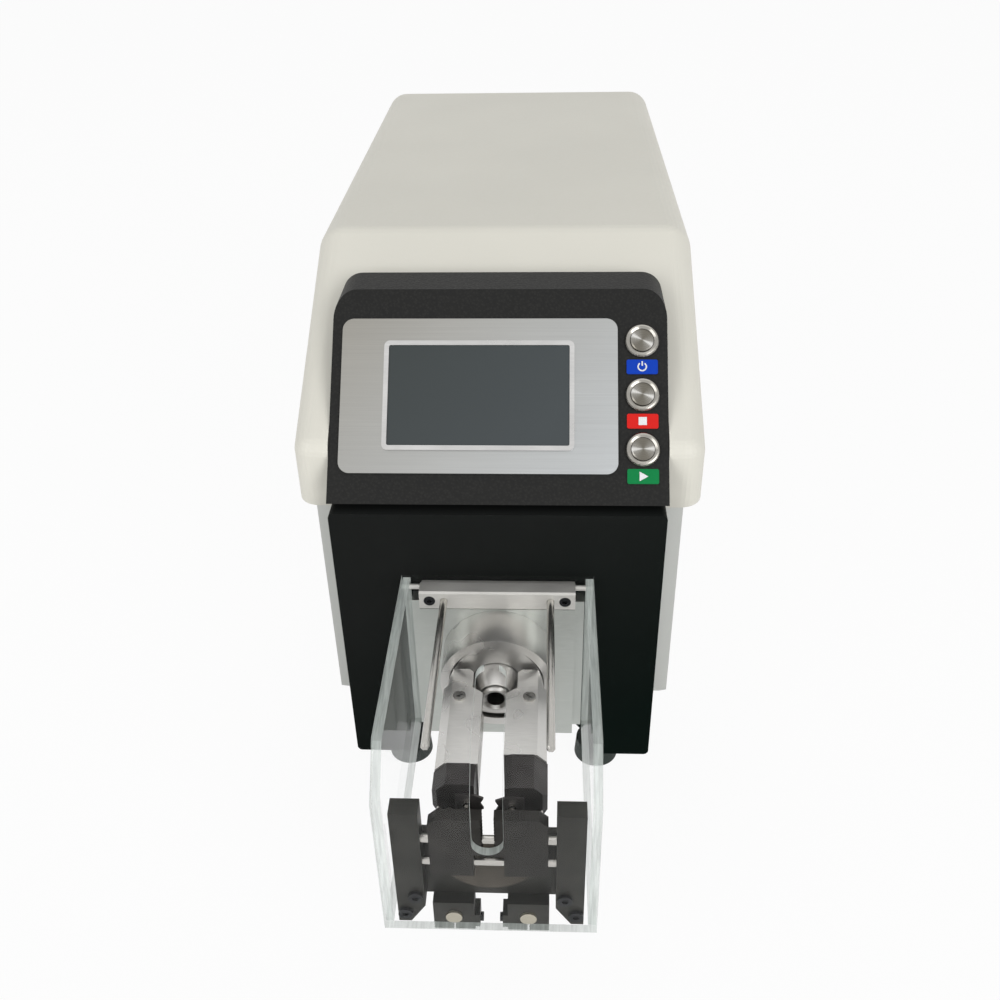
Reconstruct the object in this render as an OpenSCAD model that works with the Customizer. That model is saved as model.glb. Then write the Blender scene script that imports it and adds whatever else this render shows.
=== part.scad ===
// Bench-top rotary coaxial cable stripper, millimetres, Z up.
// The origin is at the centre of the footprint, on the surface it stands on.
// Distances called "reach" and "y" below count from the lower front face.

/* [Enclosure] */
// Width of the black lower front cover
front_cover_w = 175; // [160:1:184]
// Height of the top edge of the front cover
front_cover_top = 187.5; // [180:0.5:190]
// Depth of the front cover ahead of the chassis
front_cover_d = 24; // [20:1:28]
// Width of the chassis below the hood
chassis_w = 197; // [192:1:202]
// Height of the underside of the chassis
chassis_z = 14; // [12:0.5:16]
// Depth of the whole body behind its front face
body_d = 477; // [460:1:520]
// Width of the upper hood
hood_w = 217; // [212:1:226]
// Height of the flat roof
hood_h = 288; // [286:1:310]
// Depth at which the roof starts to slope down
hood_crease_y = 150; // [140:1:170]
// Depth of the upright nose of the hood
hood_nose_y = 22; // [20:1:23]
// Height at which the nose meets the slope
hood_nose_top = 214; // [208:1:220]
// Height of the lower edge of the hood
hood_z = 178; // [170:1:182]
// Radius of the long edges of the hood
hood_edge_r = 16; // [8:1:18]
// Wall of the hood
hood_wall = 3; // [2:0.5:4]
// Sheet of the chassis
sheet_t = 2; // [1.5:0.5:2.5]
// Wall of the front cover
front_wall = 2.5; // [2:0.5:4]
// Diameter of a rubber foot
foot_d = 26; // [18:1:32]

/* [Console] */
// Width of the sloping console
console_w = 176.8; // [172:0.1:180]
// Length of its face up the slope
console_len = 116.3; // [114:0.1:118]
// Angle of its face from level
console_angle = 46.9; // [45:0.1:48]
// Depth of its flat top
console_top_d = 24; // [20:1:28]
// Width of the brushed plate
plate_w = 145.2; // [140:0.1:150]
// Height of the brushed plate
plate_h = 83.4; // [80:0.1:88]
// Thickness of the brushed plate
plate_t = 1.2; // [0.8:0.1:2]
// Width of the visible screen
screen_w = 95; // [88:0.5:100]
// Height of the visible screen
screen_h = 53.9; // [50:0.1:58]
// Outer diameter of a push button
button_d = 17.8; // [15:0.1:19]
// Spacing of the push buttons
button_pitch = 29.1; // [28:0.1:30]
// Travel of a push button
button_travel = 1.6; // [1:0.1:2]

/* [Head] */
// Height of the cable axis
axis_z = 107; // [105:0.5:109]
// Radius of the head housing
housing_r = 29.5; // [28.6:0.1:30]
// Radius of the opening in its front rim
rim_r = 25; // [24.5:0.1:25.6]
// Reach of the housing rim
housing_reach = 39; // [38.6:0.1:40]
// Reach of the cutting blades
blade_reach = 117; // [115:0.5:118]
// Half thickness of an arm
arm_half_t = 11; // [9:0.5:12]
// Outer radius of the machined arms
arm_round_r = 28.2; // [27:0.1:29]
// Radius of the round root of the arms
arm_root_r = 25.4; // [24.5:0.1:25.6]
// Distance of an arm's inner face from the axis
arm_inner_x = 6; // [5:0.5:7]
// Distance of an arm's outer face from the axis
arm_outer_x = 26.4; // [25:0.1:27.4]
// Reach of the arm pivots
pivot_reach = 60; // [58:0.5:62]
// Distance of an arm pivot from the axis
pivot_x = 17.5; // [17:0.1:18]
// Diameter of an arm pivot pin
pivot_d = 4; // [3:0.1:5]
// Outer radius of the guide nozzle
nozzle_r = 8.2; // [7.6:0.1:8.4]
// Radius of the cable hole in the nozzle
nozzle_bore_r = 4.6; // [3:0.1:5.5]
// Reach of the nozzle
nozzle_reach = 51.5; // [50:0.5:54]
// Thickness of a cutting blade
blade_t = 1.2; // [0.8:0.1:1.4]
// Gap between the open cutting edges
blade_gap = 5.4; // [4:0.1:7]

/* [Mounting] */
// Width of the mounting plate
mount_w = 92; // [90:0.5:92.5]
// Height of the lower edge of the mounting plate
mount_z = 46.5; // [46.4:0.1:48]
// Width of the top block and the raised pad below it
block_w = 82; // [80:0.5:83]
// Height of the top block
block_h = 10.6; // [10:0.1:11]
// Reach of the top block
block_reach = 15; // [13:0.5:17]
// Diameter of the two stainless rods
rod_d = 4; // [3:0.1:4.6]
// Half spacing of the two stainless rods
rod_x = 28; // [26:0.5:29]
// Reach of the two stainless rods
rod_reach = 118; // [100:1:118]

/* [Gripper] */
// Front reach of the gripper
gripper_reach = 135; // [134.5:0.1:135.4]
// Thickness of the jaws and wings
jaw_t = 6; // [5.5:0.1:6]
// Gap between the jaws at rest
jaw_gap = 5.4; // [4:0.1:6.4]
// Half width of the gripper
gripper_half_w = 44.4; // [43:0.1:44.6]
// Diameter of the jaw rods
jaw_rod_d = 4; // [3:0.1:4.2]
// Diameter of the two carrying shafts
shaft_d = 8; // [7:0.1:8]
// Half spacing of the two carrying shafts
shaft_x = 18; // [17:0.5:19]
// Height of the two carrying shafts
shaft_z = 42; // [41.5:0.1:42]
// Radius of the spiral disc
disc_r = 24; // [23.6:0.1:24.6]
// Height of the spiral disc's centre
disc_z = 84; // [83.4:0.1:84.6]

/* [Guard] */
// Outer width of the clear guard
guard_w = 101; // [100.8:0.1:103]
// Thickness of the clear sheet
guard_t = 4; // [3:0.1:4]
// Height of the guard's top face
guard_top = 153; // [152.9:0.1:154]
// Height of the guard's lower edge
guard_z = 44.5; // [43:0.5:46]
// Reach of the guard's upright front
guard_reach = 141; // [140.5:0.1:143]
// Reach of the level part of the guard's top
guard_top_reach = 121.4; // [120.6:0.1:123]
// Drop of the guard's slanted part
guard_drop = 21.5; // [19:0.5:23]
// Width of the cable slot
slot_w = 14.4; // [12:0.1:16]
// Reach at which the cable slot starts
slot_reach = 73.6; // [60:0.1:90]

/* [Drive] */
// Teeth of the spindle pulley
spindle_teeth = 36; // [36:2:40]
// Teeth of the motor pulley
motor_teeth = 18; // [16:2:20]
// Pitch of the belt's teeth
belt_pitch = 4; // [3.8:0.1:4]
// Distance from the cable axis up to the motor shaft
motor_rise = 66; // [65:0.5:67]
// Diameter of the feed screw
feed_screw_d = 10; // [8:0.5:11]
// Height of the feed screw
feed_z = 36; // [35.8:0.1:36.4]

/* [Hidden] */
$fn = 48;

eps = 0.02;
seat_gap = 0.3;
run_gap = 0.05;
socket_reach = 8;
front_y = (guard_reach - body_d - socket_reach) / 2;

chassis_front = front_cover_d;
chassis_rear = body_d - sheet_t;
chassis_chamfer = 30;
notch_half_w = 44;
notch_top = axis_z + housing_r + 0.6;

console_foot_y = 4;
console_foot_z = front_cover_top + 3.5;
console_wall = 2.5;
console_top_y = console_foot_y + console_len * cos(console_angle);
console_top_z = console_foot_z + console_len * sin(console_angle);
console_back_y = console_top_y + console_top_d;
console_sink = 12;
plate_x = -10.3;
plate_s = 57.8;
screen_x = -10.3;
screen_s = 57.7;
button_x = 75;
button_s = 58.4;
label_drop = 14.1;
rocker_pin_r = 1;

block_z = guard_top - guard_t - seat_gap - 0.3 - block_h;
rod_z = block_z + block_h / 2 - 0.4;
mount_flange_t = 8;
hinge_y = -7.2;
hinge_z = block_z + block_h - 2.2;
hinge_d = 3;
hinge_relief = 2.4;

base_top = 26;
base_rear = 330;
bulkhead_y = 30;
bulkhead_t = 12;
feed_motor_w = 39;
rail_x = 40;
rail_h = 10;
carriage_z = 44;
carriage_t = 8;
carriage_front = 52;
carriage_rear = 190;
upright_y = 84;
upright_t = 12;
housing_rear = 100;
pulley_y = 101;
pulley_t = 14;
spindle_r = 16;
spindle_bore_r = 13;
cone_r = 12.6;
cone_front_r = 9;
cone_nose_y = -36;
cone_nose_len = 13;
arm_root_y = -50;
yoke_y = 122;
yoke_t = 5;
rear_upright_y = 140;
closing_z = axis_z - 34;
motor_z = axis_z + motor_rise;
spindle_pulley_r = spindle_teeth * belt_pitch / (2 * PI);
motor_pulley_r = motor_teeth * belt_pitch / (2 * PI);

disc_t = 2.5;
jaw_back = -gripper_reach + jaw_t;
disc_front = jaw_back + seat_gap;
gripper_plate_y = disc_front + disc_t + seat_gap;
gripper_plate_t = 3.4;
gripper_bottom = 52;
pin_x = 18.7;
pin_d = 3;
spiral_rise = 9;
jaw_rod_upper = axis_z - 7.6;
jaw_rod_lower = disc_z;
jaw_rod_y = -gripper_reach + 3;
jaw_outer_x = 27.2;
jaw_low_x = 7;
wing_inner_x = 31;
wing_top = axis_z + 12;
wing_screws = [[35.3, 61], [40.7, 49]];
wing_screw_d = 7;
wing_screw_h = 2.2;
pin_slack = 0.35;
open_turn = 19;
close_turn = 15;
guard_rear = -3;
guard_top_rear = hinge_y + 1.2;

// Shared placing and profiles
module at_front() { translate([0, front_y, 0]) children(); }

module along_y(y, x = 0, z = axis_z) { translate([x, y, z]) rotate([-90, 0, 0]) children(); }

module rod_y(r, y0, y1, x = 0, z = axis_z) { along_y(y0, x, z) cylinder(r = r, h = y1 - y0); }

module rod_x_dir(r, x0, x1, y, z) { translate([x0, y, z]) rotate([0, 90, 0]) cylinder(r = r, h = x1 - x0); }

module tube_y(r, bore, y0, y1, x = 0, z = axis_z) {
    difference() {
        rod_y(r, y0, y1, x, z);
        rod_y(bore, y0 - 1, y1 + 1, x, z);
    }
}

module block(x0, x1, y0, y1, z0, z1) { translate([x0, y0, z0]) cube([x1 - x0, y1 - y0, z1 - z0]); }

module side_profile(half_w, points) {
    translate([-half_w, 0, 0]) rotate([90, 0, 90]) linear_extrude(2 * half_w) polygon(points);
}

module front_profile(y0, y1) { translate([0, y1, 0]) rotate([90, 0, 0]) linear_extrude(y1 - y0) children(); }

module rounded_rect(w, h, r) {
    for (x = [-1, 1], y = [-1, 1]) translate([x * (w / 2 - r), y * (h / 2 - r)]) circle(r);
    square([w - 2 * r, h], center = true);
    square([w, h - 2 * r], center = true);
}

module on_console(x, s, n = 0) {
    at_front() translate([0, console_foot_y, console_foot_z]) rotate([console_angle, 0, 0])
        translate([x, s, n]) children();
}

module mirror_x(side) { if (side < 0) mirror([1, 0, 0]) children(); else children(); }

module socket_head(d, h, hex) {
    difference() {
        cylinder(d = d, h = h);
        translate([0, 0, h - h * 0.5]) cylinder(d = hex, h = h, $fn = 6);
    }
}

// Enclosure
hood_slope = atan2(hood_h - hood_nose_top, hood_crease_y - hood_nose_y);

// One skin of the hood: round roof edges, a rounded nose and a flat back
module hood_form(inset) {
    roof_r = hood_edge_r - inset;
    nose_r = 12 - inset;
    nose_drop = 12 * tan(45 - hood_slope / 2);
    rear = body_d - inset;
    hull() {
        for (x = [-1, 1]) {
            translate([x * (hood_w / 2 - hood_edge_r), hood_crease_y, hood_h - hood_edge_r])
                sphere(roof_r, $fn = 32);
            rod_y(roof_r, rear - 1, rear, x * (hood_w / 2 - hood_edge_r), hood_h - hood_edge_r);
            translate([x * (hood_w / 2 - 12), hood_nose_y + 12, hood_nose_top - nose_drop])
                sphere(nose_r, $fn = 32);
            translate([x * (hood_w / 2 - 12), hood_nose_y + 12, hood_z]) cylinder(r = nose_r, h = 1, $fn = 32);
        }
        block(-hood_w / 2 + inset, hood_w / 2 - inset, rear - 1, rear, hood_z, hood_z + 1);
    }
}

module console_profile(grow = 0) {
    polygon([
        [console_foot_y - grow, console_foot_z - grow],
        [console_top_y - grow, console_top_z + grow],
        [console_back_y + grow, console_top_z + grow],
        [console_back_y + grow, console_top_z - console_sink - 10],
        [front_cover_d + 10, console_foot_z + 10],
        [front_cover_d + grow, console_foot_z - grow]]);
}

module console_form(half_w, grow, corner) {
    intersection() {
        translate([-half_w, 0, 0]) rotate([90, 0, 90]) linear_extrude(2 * half_w) console_profile(grow);
        front_profile(0, 200) {
            top = console_top_z + grow;
            for (x = [-1, 1]) translate([x * (half_w - corner), top - corner]) circle(corner);
            translate([-half_w, 0]) square([2 * half_w, top - corner]);
            translate([-half_w + corner, 0]) square([2 * (half_w - corner), top]);
        }
    }
}

module hood() {
    color("#e6e4da") at_front() difference() {
        hood_form(0);
        translate([0, 0, -1]) hood_form(hood_wall);
        block(-hood_w / 2 + hood_wall, hood_w / 2 - hood_wall, hood_nose_y + 12, body_d - hood_wall, hood_z - 1, hood_z + 10);
        console_form(console_w / 2 + seat_gap, seat_gap, 12.4);
        block(-console_w / 2 - seat_gap, console_w / 2 + seat_gap, 0, front_cover_d + 20, hood_z - 1, hood_nose_top - 4);
        block(-console_w / 2 - seat_gap, console_w / 2 + seat_gap, 0, console_back_y - 2, hood_z - 1, hood_nose_top + 6);
    }
    color("#e6e4da") at_front() hood_lip();
}

// Turned-in lip that closes the step between the hood and the narrower chassis
module hood_lip() {
    inner = chassis_w / 2 + seat_gap;
    outer = hood_w / 2 - hood_wall + eps;
    for (side = [-1, 1]) mirror_x(side)
        block(inner, outer, hood_nose_y + 14, body_d - hood_wall + eps, hood_z, hood_z + hood_wall);
}

module chassis() {
    half = chassis_w / 2;
    top = hood_z + 12;
    front = chassis_front + seat_gap;
    inside = hood_nose_y + hood_wall + 5;
    side = [[front, chassis_z + chassis_chamfer], [front, hood_z - seat_gap], [inside, hood_z - seat_gap],
        [inside, front_cover_top - seat_gap], [front + 20, front_cover_top - seat_gap], [front + 20, top],
        [body_d - hood_wall - seat_gap, top], [body_d - hood_wall - seat_gap, hood_z - seat_gap],
        [chassis_rear - seat_gap, hood_z - seat_gap], [chassis_rear - seat_gap, chassis_z],
        [front + chassis_chamfer, chassis_z]];
    color("#dfe0da") at_front() difference() {
        side_profile(half, side);
        side_profile(half - sheet_t, [
            [front + sheet_t, chassis_z + chassis_chamfer], [front + sheet_t, top + 1],
            [chassis_rear + 1, top + 1], [chassis_rear + 1, chassis_z + sheet_t],
            [front + chassis_chamfer, chassis_z + sheet_t]]);
        block(-notch_half_w - 1, notch_half_w + 1, 0, front + sheet_t + 28, chassis_z - 1, notch_top + 1);
    }
}

module rear_panel() {
    half = chassis_w / 2 - sheet_t - seat_gap;
    color("#d8d9d4") at_front() difference() {
        block(-half, half, chassis_rear, body_d, chassis_z + sheet_t + seat_gap, hood_z - seat_gap);
        inlet_space(seat_gap);
        rod_y(8.2, chassis_rear - 1, body_d + 1, -40, 60);
        for (i = [0:9]) block(-70 + i * 9, -66 + i * 9, chassis_rear - 1, body_d + 1, 110, 150);
    }
}

module front_cover() {
    half = front_cover_w / 2;
    color("#1d201f") at_front() difference() {
        front_profile(0, front_cover_d) translate([0, (front_cover_top + chassis_z) / 2])
            rounded_rect(2 * half, front_cover_top - chassis_z, 3);
        translate([0, front_wall, 0]) front_profile(0, front_cover_d) translate([0, (front_cover_top + chassis_z) / 2])
            rounded_rect(2 * (half - front_wall), front_cover_top - chassis_z - 2 * front_wall, 2);
        front_profile(-1, front_cover_d + 1) polygon([
            [-notch_half_w - 6, chassis_z - 1], [-notch_half_w - 6, chassis_z + 16], [-notch_half_w, chassis_z + 24],
            [-notch_half_w, notch_top], [notch_half_w, notch_top], [notch_half_w, chassis_z + 24],
            [notch_half_w + 6, chassis_z + 16], [notch_half_w + 6, chassis_z - 1]]);
    }
}

// Two feet stand under the front cover, two at the rear
module feet() {
    foot_h = chassis_z;
    color("#20302a") at_front()
        for (x = [-1, 1], y = [14, body_d - 40]) translate([x * (notch_half_w + foot_d / 2), y, 0]) rotate_extrude()
            polygon([[0, 0], [foot_d / 2 - 2, 0], [foot_d / 2, 2], [foot_d / 2 - 1, foot_h], [0, foot_h]]);
}

// Console
module console_shell() {
    color("#2b2c2b") difference() {
        at_front() console_form(console_w / 2, 0, 12);
        at_front() console_form(console_w / 2 - console_wall, -console_wall, 9.5);
        at_front() side_profile(console_w / 2 - console_wall, [
            [front_cover_d + 3, console_foot_z - 2], [front_cover_d + 3, console_foot_z + 6], [front_cover_d + 10, console_foot_z + 12],
            [console_back_y - console_wall, console_top_z - console_sink - 8], [console_back_y - console_wall, console_foot_z - 2]]);
        on_console(screen_x, screen_s, -30) linear_extrude(60) square([screen_w + 8, screen_h + 8], center = true);
        for (k = [-1:1]) on_console(button_x, button_s + k * button_pitch, -10) cylinder(d = 15, h = 20);
    }
}

module console_plate() {
    color("#b9b8b2") difference() {
        on_console(plate_x, plate_s, run_gap) linear_extrude(plate_t) rounded_rect(plate_w, plate_h, 6);
        on_console(screen_x, screen_s, -1) linear_extrude(4) rounded_rect(screen_w + 2, screen_h + 2, 2);
    }
}

module screen_frame() {
    color("#d4d4d0") on_console(screen_x, screen_s, 0) difference() {
        translate([0, 0, plate_t + 2 * run_gap]) linear_extrude(1.1) rounded_rect(screen_w + 5, screen_h + 5, 3);
        translate([0, 0, -1]) linear_extrude(6) rounded_rect(screen_w, screen_h, 1);
    }
}

module touch_screen() {
    color("#4b5055") on_console(screen_x, screen_s, -1.5) linear_extrude(plate_t + 2.1)
        rounded_rect(screen_w - 2 * run_gap, screen_h - 2 * run_gap, 0.9);
}

module screen_module() {
    color("#30343a") on_console(screen_x, screen_s, -11.6) linear_extrude(10) square([screen_w + 6, screen_h + 6], center = true);
}

module at_button(k) { on_console(button_x, button_s + (1 - k) * button_pitch, 0) children(); }

module button_barrels() {
    rim = button_d / 2;
    color("#c2c2be") for (k = [0:2]) at_button(k) rotate_extrude() polygon([
        [rim - 2.6, run_gap], [rim - 2.6, 1.6], [rim - 1.4, 2.2], [rim - 0.6, 2], [rim, 1.2], [rim, run_gap],
        [7.2, run_gap], [7.2, -18], [0, -18], [0, -14], [rim - 2.6, -14], [rim - 2.6, run_gap]]);
}

module button_cap(k) {
    cap_r = button_d / 2 - 2.7;
    at_button(k) rotate_extrude() polygon([[0, -11], [cap_r - 0.2, -11], [cap_r - 0.2, 1.9], [cap_r - 0.9, 2.4], [0, 2.6]]);
}

module power_button() { color("#bdbdb8") button_cap(0); }

module stop_button() { color("#bdbdb8") button_cap(1); }

module start_button() { color("#bdbdb8") button_cap(2); }

module button_labels() {
    color("#3a62a8") for (k = [0:2]) at_button(k) translate([0, -label_drop, run_gap])
        linear_extrude(0.6) rounded_rect(16.2, 7.8, 1);
}

// Rear connections and electronics
module inlet_space(gap) { block(36 - gap, 64 + gap, chassis_rear - 30, body_d + 1, 42 - gap, 90 + gap); }

module power_inlet() {
    color("#26282a") at_front() difference() {
        union() {
            block(36, 64, chassis_rear - 28, body_d, 42, 90);
            front_profile(body_d, body_d + 2.4) translate([50, 66]) rounded_rect(34, 56, 3);
        }
        block(38.5, 61.5, body_d - 17, body_d + 3, 45, 61);
        block(41.5, 58.5, body_d - 12, body_d + 3, 65.4, 86.6);
    }
    color("#c9b37a") at_front() for (x = [-7, 0, 7])
        block(50 + x - 1, 50 + x + 1, body_d - 17 - eps, body_d - 5, x == 0 ? 54 : 50, x == 0 ? 58 : 54);
    color("#26282a") at_front() rod_x_dir(rocker_pin_r, 41.5 - eps, 58.5 + eps, body_d - 4, 76);
}

module rocker_switch() {
    color("#1a1a1a") at_front() translate([41.9, body_d - 4, 76]) rotate([90, 0, 90]) linear_extrude(16.2) difference() {
        polygon([[-5.5, -3], [1.2, -9], [3.8, -9], [2.6, 0], [6.2, 9], [3.6, 9.4], [-5.5, 3]]);
        circle(rocker_pin_r + run_gap);
    }
}

module pedal_socket() {
    color("#a9a9a4") at_front() difference() {
        union() {
            rod_y(8, chassis_rear - 14, body_d + socket_reach, -40, 60);
            rod_y(12, body_d, body_d + 2, -40, 60);
            translate([-40, chassis_rear, 60]) rotate([90, 0, 0]) cylinder(d = 22, h = 3, $fn = 6);
        }
        rod_y(6.2, body_d - 2, body_d + socket_reach + 1, -40, 60);
    }
}

module power_supply() {
    color("#b4b6b8") at_front() difference() {
        block(-84, 20, 400, 454, chassis_z + sheet_t, 118);
        for (i = [0:8], j = [0:5]) rod_y(2.5, 397, 404, -76 + i * 11, 30 + j * 14);
    }
}

module control_board() {
    inner = -chassis_w / 2 + sheet_t;
    color("#2f6b45") at_front() {
        block(inner + 5, inner + 6.6, 130, 300, 80, 165);
        for (y = [136, 294], z = [86, 159]) rod_x_dir(2, inner, inner + 5 + eps, y, z);
        block(inner + 6.6 - eps, inner + 12, 150, 176, 100, 126);
        block(inner + 6.6 - eps, inner + 16, 200, 212, 86, 158);
        for (z = [95, 115, 135]) block(inner + 6.6 - eps, inner + 14, 240, 262, z, z + 10);
    }
}

// Frame that carries the mechanism: a base, a front bulkhead on gussets, and a motor bracket
module base_frame() {
    gusset_front = bulkhead_y + bulkhead_t - eps;
    color("#a8aaac") at_front() difference() {
        union() {
            block(-85, 85, chassis_front + chassis_chamfer + 4, base_rear, chassis_z + sheet_t, base_top);
            block(-80, 80, bulkhead_y, bulkhead_y + bulkhead_t, mount_z, notch_top + 6);
            block(-notch_half_w + 1, notch_half_w - 1, bulkhead_y, bulkhead_y + bulkhead_t, 29, mount_z + eps);
            for (side = [-1, 1]) mirror_x(side) translate([62, 0, 0]) rotate([90, 0, 90]) linear_extrude(18)
                polygon([[gusset_front, 50], [gusset_front, 130], [gusset_front + 14, 130],
                    [gusset_front + 78, base_top - eps], [60, base_top - eps], [60, 34]]);
            block(-26, 26, base_rear - 8, base_rear, base_top - eps, feed_z + feed_motor_w / 2 + 3);
        }
        rod_y(housing_r + run_gap, 0, 80);
        for (x = [-1, 1]) rod_y(shaft_d / 2 + run_gap, 0, 90, x * shaft_x, shaft_z);
        rod_y(feed_screw_d / 2 - 1 + run_gap, 0, 90, 0, feed_z);
        rod_y(feed_screw_d / 2 + 1, base_rear - 9, base_rear + 1, 0, feed_z);
    }
}

module mount_plate() {
    half = mount_w / 2;
    top = block_z - seat_gap;
    color("#b3b6b1") at_front() difference() {
        union() {
            block(-half, half, -mount_flange_t, 0, mount_z, top);
            block(-block_w / 2, block_w / 2, -block_reach, -mount_flange_t + eps, mount_z, top);
            block(-notch_half_w + 1, notch_half_w - 1, -eps, chassis_front + sheet_t + seat_gap, mount_z + 3.5, notch_top - 2);
        }
        rod_y(housing_r + run_gap, -block_reach - 1, 60);
    }
}

// The rear edge is cut back so that the guard can swing up past it
module top_block() {
    half = block_w / 2;
    top = block_z + block_h;
    color("#c4c5c2") at_front() {
        difference() {
            side_profile(half, [[-block_reach, block_z], [-block_reach, top - 1], [-block_reach + 1, top],
                [hinge_y + 1, top], [hinge_y + hinge_relief, top - 2], [hinge_y + hinge_relief, top - 3.6],
                [0, top - 3.6], [0, block_z]]);
            for (x = [-1, 1]) {
                rod_y(rod_d / 2 + run_gap, -block_reach - 1, -4, x * rod_x, rod_z);
                rod_y(1.7, -block_reach - 1, 1, x * (half - 5.4), rod_z);
                rod_y(3.1, -block_reach - 1, -block_reach + 2.6, x * (half - 5.4), rod_z);
            }
        }
        for (x = [-1, 1]) rod_x_dir(hinge_d / 2, x > 0 ? half - eps : -guard_w / 2 + 0.5, x > 0 ? guard_w / 2 - 0.5 : -half + eps, hinge_y, hinge_z);
    }
}

module socket_screws() {
    half = block_w / 2;
    color("#2a2a2a") at_front() {
        for (x = [-1, 1]) {
            translate([x * (half - 5.4), -block_reach + 2.6, rod_z]) rotate([90, 0, 0]) socket_head(6, 2.6, 3);
            rod_y(1.6, -block_reach + 2.6 - eps, 0, x * (half - 5.4), rod_z);
        }
        for (x = [-1, 1], p = wing_screws) {
            translate([x * p[0], -gripper_reach + 0.6, p[1]]) rotate([90, 0, 0]) socket_head(wing_screw_d, wing_screw_h, 3.4);
            rod_y(1.9, -gripper_reach + 0.6 - eps, gripper_plate_y + 2, x * p[0], p[1]);
        }
        for (x = [-1, 1]) clamp_screw(x);
    }
}

module guide_rods() {
    color("#c6c4be") at_front() for (x = [-1, 1]) difference() {
        union() {
            rod_y(rod_d / 2, -rod_reach + 1, -4 - run_gap, x * rod_x, rod_z);
            translate([x * rod_x, -rod_reach + 1, rod_z]) rotate([90, 0, 0]) cylinder(r1 = rod_d / 2, r2 = rod_d / 2 - 0.7, h = 1);
        }
        block(x * rod_x - 0.4, x * rod_x + 0.4, -rod_reach - 1, -rod_reach + 0.9, rod_z - 4, rod_z + 4);
    }
}

// Feed drive
module rails() {
    color("#9fa2a4") at_front() for (x = [-1, 1]) difference() {
        block(x * rail_x - 6, x * rail_x + 6, 64, base_rear - 14, base_top, base_top + rail_h);
        for (y = [84:40:base_rear - 30]) translate([x * rail_x, y, base_top + rail_h - 3]) cylinder(d = 6, h = 4);
    }
}

module carriage() {
    color("#b9bbbd") at_front() difference() {
        union() {
            block(-55, 55, carriage_front, carriage_rear, carriage_z, carriage_z + carriage_t);
            block(-33, 33, upright_y, upright_y + upright_t, carriage_z + carriage_t - eps, motor_z + 28);
            block(-24, 24, rear_upright_y, rear_upright_y + 8, carriage_z + carriage_t - eps, axis_z + 16);
        }
        rod_y(housing_r + run_gap, upright_y - 1, upright_y + upright_t + 1);
        rod_y(19, upright_y - 1, upright_y + upright_t + 1, 0, motor_z);
        rod_y(nozzle_r + run_gap, rear_upright_y - 1, rear_upright_y + 9);
        rod_y(3.4, rear_upright_y - 1, rear_upright_y + 9, 0, closing_z);
    }
}

// Four rail blocks and the nut on the feed screw
module carriage_bearings() {
    rail_gap = 0.2;
    top = carriage_z - run_gap;
    nut_r = top - feed_z - seat_gap;
    color("#8d9092") at_front() {
        for (x = [-1, 1], y = [60, 148]) difference() {
            block(x * rail_x - 13, x * rail_x + 13, y, y + 34, base_top + 3, top);
            block(x * rail_x - 6 - rail_gap, x * rail_x + 6 + rail_gap, y - 1, y + 35, base_top, base_top + rail_h + rail_gap);
        }
        difference() {
            union() {
                block(-14, 14, 104, 116, base_top + 1.5, top);
                rod_y(nut_r, 98, 126, 0, feed_z);
            }
            rod_y(feed_screw_d / 2 + run_gap, 97, 127, 0, feed_z);
        }
    }
}

module feed_screw() {
    color("#c0c2c4") at_front() {
        rod_y(feed_screw_d / 2, bulkhead_y + bulkhead_t + 1, base_rear - 1, 0, feed_z);
        rod_y(feed_screw_d / 2 - 1, bulkhead_y + 1, bulkhead_y + bulkhead_t + 1 + eps, 0, feed_z);
        rod_y(3, base_rear - 1 - eps, base_rear + 14, 0, feed_z);
    }
}

module motor_body(w, y0, y1, x, z) {
    difference() {
        front_profile(y0, y1) translate([x, z]) rounded_rect(w, w, w / 10);
        for (y = [y0 + 9, y1 - 11]) translate([0, y, 0]) front_profile(0, 2) translate([x, z]) difference() {
            square(2 * w, center = true);
            rounded_rect(w - 2, w - 2, w / 10);
        }
    }
}

module feed_motor() {
    color("#2d2f31") at_front() difference() {
        motor_body(feed_motor_w, base_rear, base_rear + 40, 0, feed_z);
        rod_y(3 + run_gap, base_rear - 1, base_rear + 20, 0, feed_z);
    }
}

// Rotary head
module housing() {
    color("#c8c9c6") at_front() tube_y(housing_r, rim_r, -housing_reach, housing_rear);
}

module spindle_bearings() {
    color("#8a8c8e") at_front() for (y = [-22, 66]) tube_y(rim_r - run_gap, spindle_r + run_gap, y, y + 12);
}

// Hollow spindle with a front flange and a tongue for each arm
module spindle() {
    color("#bfc0bd") at_front() difference() {
        union() {
            rod_y(spindle_r, -34, 118);
            rod_y(rim_r - 1.5, -37, -31);
            for (side = [-1, 1]) mirror_x(side) {
                block(pivot_x - 4.1, pivot_x + 4.1, -pivot_reach, -36, axis_z - 4.1, axis_z + 4.1);
                translate([pivot_x, -pivot_reach, axis_z - 4.1]) cylinder(r = 4.1, h = 8.2);
            }
        }
        rod_y(spindle_bore_r, -60, 119);
        for (side = [-1, 1]) translate([side * pivot_x, -pivot_reach, axis_z - 10]) cylinder(d = pivot_d + 2 * run_gap, h = 20);
    }
}

module toothed_pulley(teeth, radius) {
    linear_extrude(pulley_t - 4) difference() {
        circle(radius);
        for (i = [0:teeth - 1]) rotate(i * 360 / teeth) translate([radius, 0]) square([2, belt_pitch * 0.45], center = true);
    }
    for (y = [-2 + eps, pulley_t - 4 - eps]) translate([0, 0, y]) cylinder(r = radius + 2.5, h = 2);
}

module spindle_pulley() {
    color("#adb0b2") at_front() difference() {
        along_y(pulley_y + 2) toothed_pulley(spindle_teeth, spindle_pulley_r);
        rod_y(spindle_r + run_gap, pulley_y - 2, pulley_y + pulley_t + 2);
    }
}

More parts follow.
